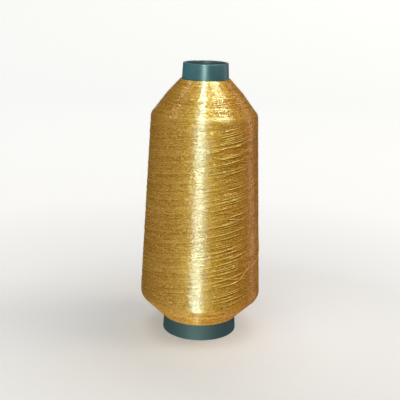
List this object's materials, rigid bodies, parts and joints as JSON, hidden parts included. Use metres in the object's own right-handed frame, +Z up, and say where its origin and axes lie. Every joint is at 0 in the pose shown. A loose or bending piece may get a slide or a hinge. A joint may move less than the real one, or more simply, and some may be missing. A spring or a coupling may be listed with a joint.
{
  "type": "thread cone",
  "caption": "Tall tapered plastic tube wound with gold metallic thread, with cone-shaped ends to the winding and a slack thread end; it feeds thread off over its nose.",
  "frame": {"origin": "centre of the tube's base rim, on the plane that it stands on", "axes": "+Z up the tube's axis from the base rim to the nose; the slack thread end lies on the side between +X and -Y"},
  "size_m": [0.1018, 0.1018, 0.23],
  "materials": {
    "tube_plastic": "dark teal moulded plastic, smooth and glossy at the nose, finely ribbed at the base",
    "winding_gold": "gold metallic thread, cross-wound, glittering",
    "loose_gold": "a single gold metallic thread"
  },
  "bodies": {
    "root": {"cone_tube": "tube_plastic", "thread_winding": "winding_gold", "thread_end": "loose_gold"}
  },
  "joints": []
}
